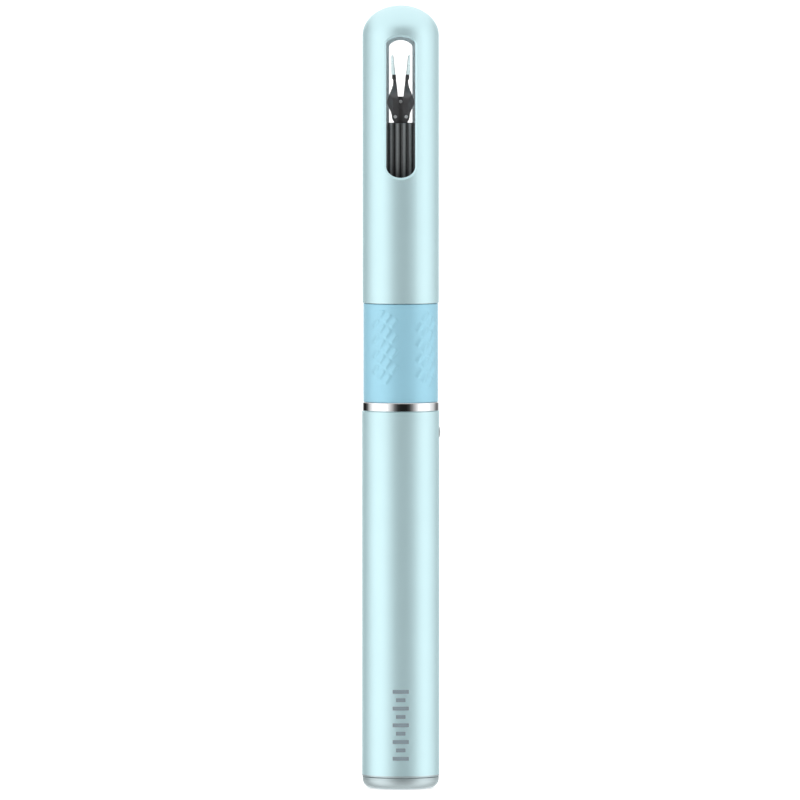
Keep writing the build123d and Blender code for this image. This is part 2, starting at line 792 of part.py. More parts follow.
def cap_shell():
    inner_r = CAP_R - CAP_WALL
    body = dome(CAP_R, DOME_HEIGHT, TOTAL_LENGTH)
    body -= dome(inner_r, DOME_HEIGHT - CAP_WALL, TOTAL_LENGTH - CAP_WALL)
    body -= disc(CAP_LINER_POCKET_R, CAP_EDGE_Z - 1, CAP_LINER_Z[1] + FIT)
    body -= plate_xz(slot_face(0, 0), -10, 0)
    body -= plate_xz(slot_face(SLOT_BACK_INSET, SLOT_BACK_DROP), 0, 10)
    rim = [e for e in body.edges() if on_slot_rim(e)]
    return [chamfer(rim, SLOT_BEVEL)]


def on_slot_rim(edge):
    """True for the edges where the slot meets the cap's outer surface."""
    mid = edge @ 0.5
    inside_slot = abs(mid.X) < SLOT_HALF_W + 0.1 and SLOT_BOTTOM_Z - 0.1 < mid.Z < SLOT_TOP_Z + 0.1
    return inside_slot and abs(math.hypot(mid.X, mid.Y) - CAP_R) < 0.01


def cap_liner():
    return [tube(CAP_LINER_POCKET_R - FIT, CAP_LINER_R, *CAP_LINER_Z)]


# ---- write every node -------------------------------------------------------

NODES = [
    barrel_tube, mark_inlay, end_cap, end_cap_o_ring, charge_contacts, dock_magnets,
    charge_board, charge_leads, carrier_tray, battery_cell, battery_pad, main_board,
    shield_can, board_chips, wifi_antenna, board_screws, button_board, tact_switch,
    power_button, button_o_ring, chrome_ring, grip_cage, lever_pins, grip_sleeve,
    lever_left, lever_right, drive_cone, push_tube, return_spring, spring_washer,
    nose_cone, nose_o_ring, front_tube, camera_barrel, image_sensor_board, lens_cell,
    camera_lens, light_ring, camera_flex, wedge_fork, jaw_bracket, bracket_screws,
    jaw_pivot_pins, jaw_left, jaw_right, tip_left, tip_right, cap_shell, cap_liner]


def solids_of(shapes):
    """Flatten a list of shapes into separate solids."""
    found = []
    for shape in shapes:
        found += shape.solids()
    return found


def main():
    os.makedirs("parts", exist_ok=True)
    for node in NODES:
        solids = solids_of(node())
        shape = solids[0] if len(solids) == 1 else Compound(children=solids)
        export_step(shape, f"parts/{node.__name__}.step")


main()
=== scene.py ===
import json
import math

import bpy
import numpy as np
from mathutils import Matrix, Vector


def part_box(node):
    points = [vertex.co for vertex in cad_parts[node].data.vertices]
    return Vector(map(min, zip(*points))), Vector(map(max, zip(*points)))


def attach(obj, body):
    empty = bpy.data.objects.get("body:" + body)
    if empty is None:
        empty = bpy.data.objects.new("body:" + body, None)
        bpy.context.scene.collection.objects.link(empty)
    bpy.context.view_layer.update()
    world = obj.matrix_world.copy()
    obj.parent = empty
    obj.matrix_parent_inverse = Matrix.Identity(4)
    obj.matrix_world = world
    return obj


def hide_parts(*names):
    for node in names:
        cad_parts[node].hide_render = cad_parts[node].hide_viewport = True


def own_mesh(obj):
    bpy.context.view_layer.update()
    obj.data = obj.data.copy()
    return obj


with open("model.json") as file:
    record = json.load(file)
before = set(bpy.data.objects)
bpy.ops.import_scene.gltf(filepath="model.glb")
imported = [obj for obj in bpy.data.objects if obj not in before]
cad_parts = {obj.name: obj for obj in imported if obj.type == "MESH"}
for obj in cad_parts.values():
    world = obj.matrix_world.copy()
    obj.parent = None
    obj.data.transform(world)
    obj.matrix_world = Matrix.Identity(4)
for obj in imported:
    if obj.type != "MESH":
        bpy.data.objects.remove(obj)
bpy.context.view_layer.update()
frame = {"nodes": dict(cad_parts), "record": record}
MM = 0.001

# ---- node helpers -----------------------------------------------------------


class Tree:
    """A small wrapper that adds nodes to a node tree and links them."""

    def __init__(self, tree):
        self.tree = tree
        tree.nodes.clear()

    def node(self, kind, inputs=None, **settings):
        n = self.tree.nodes.new(kind)
        for key, value in settings.items():
            setattr(n, key, value)
        for key, value in (inputs or {}).items():
            if isinstance(value, bpy.types.NodeSocket):
                self.tree.links.new(value, n.inputs[key])
            else:
                n.inputs[key].default_value = value
        return n

    def math(self, operation, *values):
        n = self.node("ShaderNodeMath", dict(enumerate(values)), operation=operation)
        return n.outputs[0]

    def remap(self, value, low, high, out_low=0.0, out_high=1.0, smooth=False):
        n = self.node("ShaderNodeMapRange", {0: value, 1: low, 2: high, 3: out_low, 4: out_high},
                      interpolation_type="SMOOTHSTEP" if smooth else "LINEAR")
        return n.outputs[0]

    def ramp(self, value, stops):
        n = self.node("ShaderNodeValToRGB", {0: value})
        marks = n.color_ramp.elements
        marks[0].position, marks[-1].position = 0.0, 1.0
        for i, (position, level) in enumerate(stops):
            mark = marks[i] if i < 2 else marks.new(position)
            mark.position = position
            mark.color = (level, level, level, 1.0)
        return n.outputs[0]

    def mix(self, share, a, b):
        n = self.node("ShaderNodeMix", data_type="RGBA")
        for index, value in ((0, share), (6, a), (7, b)):
            if isinstance(value, bpy.types.NodeSocket):
                self.tree.links.new(value, n.inputs[index])
            elif index:
                n.inputs[index].default_value = (*value, 1.0)
            else:
                n.inputs[index].default_value = value
        return n.outputs[2]

    def stretched(self, vector, x, y, z):
        return self.node("ShaderNodeMapping", {"Vector": vector, "Scale": (x, y, z)}).outputs[0]

    def split(self, vector):
        return self.node("ShaderNodeSeparateXYZ", {0: vector}).outputs

    def noise(self, vector, size, detail=3.0, roughness=0.55):
        n = self.node("ShaderNodeTexNoise", {"Vector": vector, "Scale": 1 / size, "Detail": detail,
                                             "Roughness": roughness})
        return n.outputs["Fac"]

    def cells(self, vector, size):
        n = self.node("ShaderNodeTexVoronoi", {"Vector": vector, "Scale": 1 / size})
        return n.outputs["Distance"]

    def bricks(self, vector, width, height, gap):
        n = self.node("ShaderNodeTexBrick", {
            "Vector": vector, "Scale": 1.0, "Brick Width": width, "Row Height": height,
            "Mortar Size": gap, "Mortar Smooth": 0.1})
        return n.outputs["Fac"]

    def bump(self, height, distance, normal=None):
        inputs = {"Height": height, "Distance": distance, "Strength": 1.0}
        if normal is not None:
            inputs["Normal"] = normal
        return self.node("ShaderNodeBump", inputs).outputs[0]

    def edges(self, radius):
        """One on edges and corners sharper than the given radius, zero on open faces."""
        rounded = self.node("ShaderNodeBevel", {"Radius": radius}, samples=4).outputs[0]
        flat = self.node("ShaderNodeNewGeometry").outputs["Normal"]
        likeness = self.node("ShaderNodeVectorMath", {0: rounded, 1: flat}, operation="DOT_PRODUCT")
        return self.remap(likeness.outputs["Value"], 0.98, 0.8)


def shader(name, base, roughness, metallic=0.0, **sockets):
    """A material with one Principled shader. Gives the tree, the shader and object coordinates."""
    material = bpy.data.materials.new(name)
    material.use_nodes = True
    tree = Tree(material.node_tree)
    out = tree.node("ShaderNodeOutputMaterial")
    inputs = {"Base Color": (*base, 1.0), "Roughness": roughness, "Metallic": metallic}
    inputs.update({key.replace("_", " "): value for key, value in sockets.items()})
    bsdf = tree.node("ShaderNodeBsdfPrincipled", inputs)
    tree.tree.links.new(bsdf.outputs[0], out.inputs[0])
    where = tree.node("ShaderNodeTexCoord").outputs["Object"]
    return material, tree, bsdf, where


def link(tree, source, bsdf, socket):
    tree.tree.links.new(source, bsdf.inputs[socket])


def shade(colour, factor):
    return tuple(min(1.0, factor * c) for c in colour)


# ---- metals -----------------------------------------------------------------

CYAN_METAL = (0.65, 0.89, 0.93)
BARE_METAL = (0.80, 0.82, 0.83)
TURNED_METAL = (0.56, 0.66, 0.68)
CAP_WALL = 0.76 * MM
CAP_DOME_DEPTH = 6.3 * MM
SEAM_BELOW, SEAM_ABOVE = 0.6 * MM, 0.35 * MM
RIDGES_START = 0.3 * MM


def satin_metal(name, base, roughness=0.4, metallic=0.5, painted_light_bore=None, turned=None):
    """Blasted and anodised metal: fine grain, faint clouds and scratches, edges rubbed lighter.
    A painted light bore is (radius, top, colour): everything inside it and below its top is painted
    plain and pale, painted light that lifts the shade inside the cap.
    Turned is a pair of heights between which the metal is bare, darker and smoother."""
    material, t, bsdf, where = shader(name, base, roughness, metallic)
    cloud = t.noise(where, 9 * MM, 2.0)
    colour = t.mix(cloud, shade(base, 0.965), shade(base, 1.01))
    patchy = t.remap(t.noise(where, 1.2 * MM), 0.4, 0.7, 0.1, 0.6)
    rubbed = t.math("MULTIPLY", t.edges(0.12 * MM), patchy)
    colour = t.mix(rubbed, colour, BARE_METAL)
    if painted_light_bore:
        bore_r, bore_top, bore_painted_light = painted_light_bore
        x, y, z = t.split(where)
        radius = t.math("SQRT", t.math("ADD", t.math("MULTIPLY", x, x), t.math("MULTIPLY", y, y)))
        # painted light: the inside of the bore is painted pale and non-metallic to lift the shade
        # within the cap
        inside = t.math("MULTIPLY", t.remap(radius, bore_r, bore_r + 0.05 * MM, 1.0, 0.0),
                        t.math("LESS_THAN", z, bore_top))
        colour = t.mix(inside, colour, bore_painted_light)
        link(t, t.remap(inside, 0.0, 1.0, metallic, 0.0), bsdf, "Metallic")
    grain = t.noise(where, 0.06 * MM, 2.0, 0.7)
    scratch = t.remap(t.noise(t.stretched(where, 1.0, 1.0, 0.06), 0.15 * MM, 2.0), 0.66, 0.72)
    rough = t.remap(grain, 0.3, 0.7, roughness - 0.03, roughness + 0.03)
    rough = t.math("SUBTRACT", rough, t.math("MULTIPLY", scratch, 0.04))
    if turned:
        x, y, z = t.split(where)
        bare = t.math("MULTIPLY", t.remap(z, turned[0] - 0.1 * MM, turned[0]),
                      t.remap(z, turned[1] + 0.1 * MM, turned[1]))
        lines = t.noise(t.stretched(where, 1.0, 1.0, 40.0), 2 * MM)
        colour = t.mix(bare, colour, TURNED_METAL)
        rough = t.mix(bare, rough, t.remap(lines, 0.3, 0.7, 0.34, 0.44))
        link(t, t.remap(bare, 0.0, 1.0, metallic, 0.6), bsdf, "Metallic")
    link(t, colour, bsdf, "Base Color")
    link(t, rough, bsdf, "Roughness")
    link(t, t.bump(grain, 0.0007 * MM), bsdf, "Normal")
    return material


def chrome():
    material, t, bsdf, where = shader("chrome", (0.93, 0.94, 0.95), 0.04, 1.0)
    smear = t.noise(where, 2.5 * MM, 3.0)
    lines = t.noise(t.stretched(where, 1.0, 1.0, 30.0), 1.5 * MM)
    link(t, t.mix(smear, (0.90, 0.915, 0.93), (0.95, 0.955, 0.96)), bsdf, "Base Color")
    link(t, t.remap(lines, 0.2, 0.8, 0.02, 0.05), bsdf, "Roughness")
    return material


def turned_metal(name, base, roughness, metallic=1.0):
    """Polished metal with fine tool lines, and fingerprints that change its roughness."""
    material, t, bsdf, where = shader(name, base, roughness, metallic)
    lines = t.noise(t.stretched(where, 1.0, 1.0, 14.0), 0.5 * MM, 4.0, 0.7)
    prints = t.noise(where, 1.1 * MM, 2.0)
    link(t, t.mix(prints, shade(base, 0.86), base), bsdf, "Base Color")
    rough = t.remap(lines, 0.3, 0.7, 0.8 * roughness, 1.25 * roughness)
    link(t, t.math("ADD", rough, t.remap(prints, 0.5, 0.8, 0.0, 0.12)), bsdf, "Roughness")
    link(t, t.bump(lines, 0.002 * MM), bsdf, "Normal")
    return material


def dark_metal(name, base, roughness, metallic, edge_wear_and_highlight):
    """Black coated surface, its edges lightened to grey by the given share: edge wear, and where
    the share is large a painted highlight along the edges.
    """
    material, t, bsdf, where = shader(name, base, roughness, metallic)
    fine = t.noise(where, 0.08 * MM, 3.0, 0.65)
    cloud = t.noise(where, 1.5 * MM)
    # edges lightened to grey: edge wear, and on the head a painted highlight along its edges
    worn_and_highlit_edges = t.math("MULTIPLY", t.edges(0.08 * MM), t.remap(cloud, 0.35, 0.65, 0.2 * edge_wear_and_highlight, edge_wear_and_highlight))
    colour = t.mix(cloud, shade(base, 0.85), shade(base, 1.1))
    link(t, t.mix(worn_and_highlit_edges, colour, (0.42, 0.42, 0.43)), bsdf, "Base Color")
    link(t, t.remap(fine, 0.3, 0.7, roughness - 0.06, roughness + 0.06), bsdf, "Roughness")
    link(t, t.bump(fine, 0.002 * MM), bsdf, "Normal")
    return material


def fluted_black():
    """The front tube's finish: flanks painted dark as painted shade, crowns kept lighter as a
    painted highlight, and grooves painted black as painted shade.
    """
    base = (0.44, 0.46, 0.465)
    material, t, bsdf, where = shader("fluted_black", base, 0.24, 0.3)
    x, y, z = t.split(where)
    angle = t.math("ARCTAN2", x, t.math("MULTIPLY", y, -1.0))
    wave = t.math("ABSOLUTE", t.math("SINE", t.math("MULTIPLY", angle, RIDGE_COUNT / 2)))
    ridged = t.math("GREATER_THAN", z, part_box("nose_cone")[1].z + RIDGES_START)
    # painted shade: the grooves between the ridges are painted near black, and made rougher
    groove_painted_shade = t.math("MULTIPLY", t.remap(wave, 0.45, 0.1, smooth=True), ridged)
    crown_painted_highlight = t.remap(wave, 0.62, 1.0, smooth=True)
    rubbed = t.noise(t.stretched(where, 1.0, 1.0, 0.05), 2.5 * MM, 2.0)
    fine = t.noise(where, 0.08 * MM, 3.0, 0.65)
    colour = t.mix(t.remap(rubbed, 0.35, 0.65), shade(base, 0.75), shade(base, 1.05))
    # painted highlight and painted shade: the crowns keep the lighter colour, the flanks are
    # painted at 0.28 of the base
    colour = t.mix(crown_painted_highlight, shade(base, 0.28), colour)
    link(t, t.mix(groove_painted_shade, colour, shade(base, 0.05)), bsdf, "Base Color")
    rough = t.math("ADD", t.remap(fine, 0.3, 0.7, 0.2, 0.3), t.math("MULTIPLY", groove_painted_shade, 0.4))
    link(t, rough, bsdf, "Roughness")
    link(t, t.bump(fine, 0.0015 * MM), bsdf, "Normal")
    return material


# ---- plastics, rubber and glass ---------------------------------------------


def moulded(name, base, roughness, grain=0.12 * MM, depth=0.004 * MM, **sockets):
    """Moulded plastic or rubber: mottled colour, spark texture and a few scuffs."""
    material, t, bsdf, where = shader(name, base, roughness, **sockets)
    cloud = t.noise(where, 4 * MM)
    scuff = t.remap(t.noise(t.stretched(where, 1.0, 0.3, 1.0), 0.9 * MM, 5.0, 0.75), 0.58, 0.72)
    colour = t.mix(cloud, shade(base, 0.9), shade(base, 1.04))
    link(t, t.mix(t.math("MULTIPLY", scuff, 0.12), colour, shade(base, 1.6)), bsdf, "Base Color")
    fine = t.noise(where, grain, 3.0, 0.65)
    rough = t.remap(fine, 0.3, 0.7, roughness - 0.05, roughness + 0.05)
    link(t, t.math("ADD", rough, t.math("MULTIPLY", scuff, 0.08)), bsdf, "Roughness")
    link(t, t.bump(fine, depth), bsdf, "Normal")
    return material


def grip_silicone():
    """Pearly silicone: faint mottling, a powdery grain and a few specks of lint."""
    base = (0.37, 0.70, 0.85)
    material, t, bsdf, where = shader("grip_silicone", base, 0.42, 0.25, Sheen_Weight=0.3,
                                      Sheen_Roughness=0.3)
    cloud = t.noise(where, 3 * MM)
    speck = t.remap(t.cells(where, 1.1 * MM), 0.05, 0.02)
    colour = t.mix(cloud, shade(base, 0.96), shade(base, 1.03))
    link(t, t.mix(t.math("MULTIPLY", speck, 0.35), colour, (0.75, 0.85, 0.9)), bsdf, "Base Color")
    powder = t.noise(where, 0.09 * MM, 3.0, 0.7)
    link(t, t.remap(powder, 0.3, 0.7, 0.38, 0.48), bsdf, "Roughness")
    link(t, t.bump(powder, 0.003 * MM), bsdf, "Normal")
    return material


def tip_silicone():
    base = (0.74, 0.89, 0.90)
    material, t, bsdf, where = shader("tip_silicone", base, 0.3, Transmission_Weight=0.8, IOR=1.12)
    haze = t.noise(where, 0.5 * MM, 4.0)
    link(t, t.mix(haze, shade(base, 0.93), shade(base, 1.03)), bsdf, "Base Color")
    link(t, t.remap(haze, 0.3, 0.7, 0.22, 0.4), bsdf, "Roughness")
    link(t, t.bump(t.noise(where, 0.15 * MM), 0.003 * MM), bsdf, "Normal")
    return material


def lens_glass():
    material, t, bsdf, where = shader("lens_glass", (0.02, 0.025, 0.04), 0.03, IOR=1.7,
                                      Thin_Film_Thickness=430.0, Thin_Film_IOR=1.38)
    dust = t.remap(t.cells(where, 0.12 * MM), 0.08, 0.03)
    link(t, t.mix(dust, (0.02, 0.025, 0.04), (0.2, 0.2, 0.2)), bsdf, "Base Color")
    link(t, t.math("MULTIPLY_ADD", dust, 0.3, 0.03), bsdf, "Roughness")
    return material


def foam():
    material, t, bsdf, where = shader("foam", (0.12, 0.12, 0.13), 0.85)
    pores = t.cells(where, 0.35 * MM)
    colour = t.mix(t.remap(pores, 0.1, 0.6), (0.04, 0.04, 0.045), (0.15, 0.15, 0.16))
    link(t, colour, bsdf, "Base Color")
    link(t, t.remap(pores, 0.0, 0.6, 0.95, 0.7), bsdf, "Roughness")
    link(t, t.bump(pores, 0.12 * MM), bsdf, "Normal")
    return material


LAP_X = 2.6 * MM
BAND_Z = 14 * MM


def cell_wrap():
    """Shrink sleeve: printed blue film, with a lapped seam and small creases."""
    base = (0.07, 0.2, 0.42)
    material, t, bsdf, where = shader("cell_wrap", base, 0.28, Coat_Weight=0.4, Coat_Roughness=0.1)
    x, y, z = t.split(where)
    seam = t.remap(t.math("ABSOLUTE", t.math("SUBTRACT", x, LAP_X)), 0.3 * MM, 0.15 * MM)
    band = t.remap(t.math("ABSOLUTE", t.math("SUBTRACT", z, BAND_Z)), 1.2 * MM, 1.1 * MM)
    crease = t.noise(t.stretched(where, 1.0, 1.0, 0.25), 0.8 * MM, 4.0)
    colour = t.mix(crease, shade(base, 0.8), shade(base, 1.1))
    colour = t.mix(band, colour, (0.75, 0.78, 0.8))
    link(t, t.mix(t.math("MULTIPLY", seam, 0.5), colour, (0.03, 0.09, 0.2)), bsdf, "Base Color")
    link(t, t.remap(crease, 0.3, 0.7, 0.2, 0.36), bsdf, "Roughness")
    link(t, t.bump(crease, 0.03 * MM, t.bump(seam, 0.04 * MM)), bsdf, "Normal")
    return material


# ---- electronics ------------------------------------------------------------


def board():
    """Solder mask over copper tracks, with rows of tinned pads."""
    material, t, bsdf, where = shader("board", (0.03, 0.16, 0.09), 0.32, Coat_Weight=0.3)
    x, y, z = t.split(where)
    flat = t.node("ShaderNodeCombineXYZ", {0: z, 1: t.math("ADD", x, y)}).outputs[0]
    tracks = t.bricks(flat, 2.6 * MM, 0.42 * MM, 0.07 * MM)
    pads = t.math("MULTIPLY", t.remap(t.cells(where, 1.3 * MM), 0.22, 0.18),
                  t.remap(t.noise(where, 3 * MM), 0.5, 0.53))
    colour = t.mix(t.noise(where, 2 * MM), (0.02, 0.11, 0.06), (0.03, 0.17, 0.095))
    colour = t.mix(tracks, colour, (0.06, 0.27, 0.14))
    link(t, t.mix(pads, colour, (0.7, 0.68, 0.62)), bsdf, "Base Color")
    link(t, t.math("MULTIPLY", pads, 0.9), bsdf, "Metallic")
    link(t, t.remap(t.noise(where, 0.2 * MM), 0.3, 0.7, 0.26, 0.4), bsdf, "Roughness")
    link(t, t.bump(t.math("ADD", tracks, pads), 0.02 * MM), bsdf, "Normal")
    return material


def flex_film():
    material, t, bsdf, where = shader("flex_film", (0.5, 0.25, 0.06), 0.25, Coat_Weight=0.5)
    x, y, z = t.split(where)
    wave = t.math("SINE", t.math("MULTIPLY", x, 2 * math.pi / (0.3 * MM)))
    tracks = t.remap(wave, 0.1, 0.4)
    film = t.mix(t.noise(where, 1.5 * MM), (0.42, 0.19, 0.04), (0.55, 0.27, 0.07))
    link(t, t.mix(tracks, film, (0.62, 0.36, 0.16)), bsdf, "Base Color")
    link(t, t.remap(t.noise(where, 0.3 * MM), 0.3, 0.7, 0.2, 0.35), bsdf, "Roughness")
    link(t, t.bump(tracks, 0.01 * MM), bsdf, "Normal")
    return material


def make_materials():
    cap_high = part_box("cap_shell")[1]
    # the cap's inside is painted pale, painted light that lifts the shade inside the cap
    cap_bore_painted_light = (cap_high.x - CAP_WALL, cap_high.z - CAP_DOME_DEPTH, (0.86, 0.90, 0.92))
    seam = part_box("barrel_tube")[0].z
    edge = (seam - SEAM_BELOW, seam + SEAM_ABOVE)
    return {
        "cap_aluminium": satin_metal("cap_aluminium", CYAN_METAL, painted_light_bore=cap_bore_painted_light),
        "barrel_aluminium": satin_metal("barrel_aluminium", CYAN_METAL, turned=edge),
        # the end cap's metal is a darker, greyer copy of the barrel's: painted shade for its
        # downward-facing end, and a greyer tone of its own
        "end_cap_metal": satin_metal("end_cap_metal", (0.62, 0.72, 0.74), 0.42, 0.55, turned=edge),
        "button_metal": satin_metal("button_metal", (0.52, 0.60, 0.61), 0.35),
        "trim_chrome": chrome(),
        "steel": turned_metal("steel", (0.90, 0.91, 0.92), 0.36, metallic=0.4),
        "gold": turned_metal("gold", (0.86, 0.62, 0.27), 0.22),
        "magnet": turned_metal("magnet", (0.55, 0.55, 0.57), 0.18),
        # the head's edges are lightened strongly: partly edge wear, partly painted highlight lines
        "head_metal": dark_metal("head_metal", (0.20, 0.195, 0.20), 0.38, 0.6, 0.8),
        "black_plastic": dark_metal("black_plastic", (0.16, 0.165, 0.17), 0.28, 0.7, 0.12),
        "grip_silicone": grip_silicone(),
        "tip_silicone": tip_silicone(),
        "lens_glass": lens_glass(),
        "light_guide": moulded("light_guide", (0.88, 0.9, 0.92), 0.3, Transmission_Weight=0.5),
        "board": board(),
        "chip": moulded("chip", (0.03, 0.03, 0.032), 0.5, 0.06 * MM),
        "ceramic": moulded("ceramic", (0.8, 0.77, 0.7), 0.45, 0.06 * MM),
        "flex_film": flex_film(),
        "lead_insulation": moulded("lead_insulation", (0.5, 0.04, 0.03), 0.4),
        "frame_plastic": moulded("frame_plastic", (0.7, 0.73, 0.75), 0.45),
        "cell_wrap": cell_wrap(),
        "foam": foam(),
        "seal_rubber": moulded("seal_rubber", (0.03, 0.03, 0.033), 0.6, 0.05 * MM),
        "mark_paint": moulded("mark_paint", (0.24, 0.30, 0.34), 0.5, 0.06 * MM),
    }


MATERIALS = make_materials()

for part in frame["record"]["subparts"]:
    node = frame["nodes"][part["node"]]
    node.data.materials.clear()
    node.data.materials.append(MATERIALS[part["material_slot"]])

# ---- mesh helpers -----------------------------------------------------------


def ring_faces(rows, columns, closed):
    """Quads that join rows of points, each row a ring. Closed joins the last row to the first."""
    faces = []
    for i in range(rows if closed else rows - 1):
        below, above = i * columns, (i + 1) % rows * columns
        for j in range(columns):
            k = (j + 1) % columns
            faces.append((below + j, below + k, above + k, above + j))
    return faces


def lathe_points(profile, columns, relief=None):
    """Rings of points for a profile of (radius, z), turned about the z axis."""
    angle = np.arange(columns) * 2 * np.pi / columns
    rings = []
    for radius, z in profile:
        r = radius + (relief(angle, z) if relief else 0.0)
        rings.append(np.stack([r * np.sin(angle), -r * np.cos(angle), np.full(columns, z)], 1))
    return np.concatenate(rings)


def add_piece(name, points, faces, body, replaced, sharp_deg=40, finish=None):
    """A new mesh piece that stands for CAD nodes and rides on their body. It takes their finish
    unless another one is given."""
    slots = {part["node"]: part["material_slot"] for part in frame["record"]["subparts"]}
    mesh = bpy.data.meshes.new(name)
    mesh.from_pydata([tuple(p) for p in points], [], faces)
    mesh.shade_smooth()
    mesh.set_sharp_from_angle(angle=math.radians(sharp_deg))
    piece = bpy.data.objects.new(name, mesh)
    bpy.context.scene.collection.objects.link(piece)
    mesh.materials.append(finish or MATERIALS[slots[replaced[0]]])
    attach(piece, body)
    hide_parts(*replaced)
    return piece


def smooth_step(value, low, high):
    t = np.clip((value - low) / (high - low), 0.0, 1.0)
    return t * t * (3.0 - 2.0 * t)


# ---- grip sleeve ------------------------------------------------------------

DASHES_ROUND = 35
DASH_PITCH_Z = 3.2 * MM
DASH_TURNS = 11
DASH_LEAN = math.radians(54)
DASH_HALF_LENGTH = 1.32 * MM
DASH_HEIGHT = 0.15 * MM
DASH_RISE = (-0.85 * MM, 0.1 * MM)
DASH_FALL = (0.6 * MM, 0.1 * MM)
STRIP_MIDDLE, PATCH_MIDDLE, PATCH_HALF = (math.radians(v) for v in (10, 36, 24))
DASH_BAND = (2.8 * MM, 1.2 * MM)
SLEEVE_WALL = 0.85 * MM
SLEEVE_BEVEL = 0.16 * MM
SLEEVE_ROWS = 170


def grip_sleeve():
    """The sleeve, with short raised dashes that lean and step down round it."""
    low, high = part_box("grip_sleeve")
    outer = high.x - 0.03 * MM
    inner = high.x - SLEEVE_WALL
    pitch = 2 * math.pi * outer / DASHES_ROUND
    step = DASH_TURNS * DASH_PITCH_Z / DASHES_ROUND
    band_low, band_high = low.z + DASH_BAND[0], high.z - DASH_BAND[1]
    band_middle, band_half = (band_low + band_high) / 2, (band_high - band_low) / 2

    def relief(angle, z):
        if not band_low < z < band_high:
            return np.zeros_like(angle)
        around = angle * outer
        height = np.zeros_like(angle)
        for shift in (-1, 0, 1):
            column = np.round(around / pitch) + shift
            row = np.round((z - band_low + column * step) / DASH_PITCH_Z)
            dx = around - column * pitch
            dz = z - band_low + column * step - row * DASH_PITCH_Z
            along = np.abs(dx * math.cos(DASH_LEAN) + dz * math.sin(DASH_LEAN))
            across = dx * math.sin(DASH_LEAN) - dz * math.cos(DASH_LEAN)
            crest = smooth_step(across, *DASH_RISE) * smooth_step(across, *DASH_FALL)
            ends = smooth_step(along, DASH_HALF_LENGTH, 0.55 * DASH_HALF_LENGTH)
            off = np.abs((column * pitch / outer - STRIP_MIDDLE + np.pi / 2) % np.pi - np.pi / 2)
            sideways = (off - PATCH_MIDDLE) / PATCH_HALF
            upwards = (z - dz - band_middle) / band_half
            inside_patch = sideways ** 2 + upwards ** 2 < 1.0
            height = np.maximum(height, DASH_HEIGHT * crest * ends * inside_patch)
        return height

    bevel = SLEEVE_BEVEL
    foot, top = low.z - 0.1 * MM, high.z + 0.13 * MM
    profile = [(inner, foot), (outer - bevel, foot), (outer - 0.3 * bevel, foot + 0.3 * bevel)]
    profile += [(outer, z) for z in np.linspace(foot + bevel, top - bevel, SLEEVE_ROWS)]
    profile += [(outer - 0.3 * bevel, top - 0.3 * bevel), (outer - bevel, top), (inner, top)]
    columns = 12 * DASHES_ROUND
    sleeve = add_piece("grip_sleeve_textured", lathe_points(profile, columns, relief),
                       ring_faces(len(profile), columns, True), "housing", ["grip_sleeve"])
    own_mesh(sleeve)


# ---- ridged front tube ------------------------------------------------------

RIDGE_COUNT = 16
RIDGE_CROWN = 0.17 * MM
GROOVE_EXTRA = 0.16 * MM
TUBE_RADIUS = 3.6 * MM
TUBE_BORE = 3.1 * MM


def front_tube():
    low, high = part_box("front_tube")
    ridged_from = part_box("nose_cone")[1].z + RIDGES_START
    ridged_to = high.z - 0.35 * MM
    outer, inner = TUBE_RADIUS, TUBE_BORE

    def relief(angle, z):
        if not ridged_from - 1e-6 < z < ridged_to + 1e-6:
            return np.zeros_like(angle)
        across = (angle * RIDGE_COUNT / np.pi) % 2.0 - 1.0
        return -RIDGE_CROWN * across ** 2 - GROOVE_EXTRA * smooth_step(np.abs(across), 0.8, 1.0)

    bevel = 0.15 * MM
    profile = [(inner, low.z), (outer, low.z), (outer, ridged_from - 0.2 * MM)]
    profile += [(outer, z) for z in np.linspace(ridged_from, ridged_to, 12)]
    profile += [(outer - 0.1 * bevel, high.z - bevel), (outer - bevel, high.z), (inner, high.z)]
    columns = 14 * RIDGE_COUNT
    add_piece("front_tube_ridged", lathe_points(profile, columns, relief),
              ring_faces(len(profile), columns, True), "housing", ["front_tube"],
              finish=fluted_black())


# ---- soft tips --------------------------------------------------------------


TIP_TAPER = 0.47
TIP_CLOSES_FROM = 0.86


def soft_tip(side, sign):
    """A soft blade: a rounded section that leans outwards, thins and closes towards its end."""
    node = "tip_" + side
    low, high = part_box(node)
    root_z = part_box("jaw_" + side)[1].z + 0.01 * MM
    far = max(abs(low.x), abs(high.x))
    near = min(abs(low.x), abs(high.x))
    levels, columns = 15, 20
    angle = np.arange(columns) * 2 * np.pi / columns
    rings = []
    for level in np.linspace(0.0, 1.0, levels):
        closing = max(0.3, math.sqrt(1.0 - smooth_step(level, TIP_CLOSES_FROM, 1.0) ** 2))
        inside = near + TIP_TAPER * (far - near) * level
        outside = far - 0.04 * MM * (1 - level) ** 3
        middle, half = (inside + outside) / 2, (outside - inside) / 2 * closing
        swell = math.sin(math.pi * min(1.0, level / TIP_CLOSES_FROM))
        depth = (0.84 + 0.16 * swell) * high.y * closing
        c, s = np.cos(angle), np.sin(angle)
        x = sign * (middle + half * np.sign(c) * np.abs(c) ** 0.7)
        y = sign * depth * np.sign(s) * np.abs(s) ** 0.7
        z = root_z + (high.z - root_z) * level
        rings.append(np.stack([x, y, np.full(columns, z)], 1))
    faces = ring_faces(levels, columns, False)
    faces.append(tuple(reversed(range(columns))))
    faces.append(tuple(range((levels - 1) * columns, levels * columns)))
    add_piece("soft_" + node, np.concatenate(rings), faces, "jaw_" + side, [node], 60)


# ---- pins and screws --------------------------------------------------------


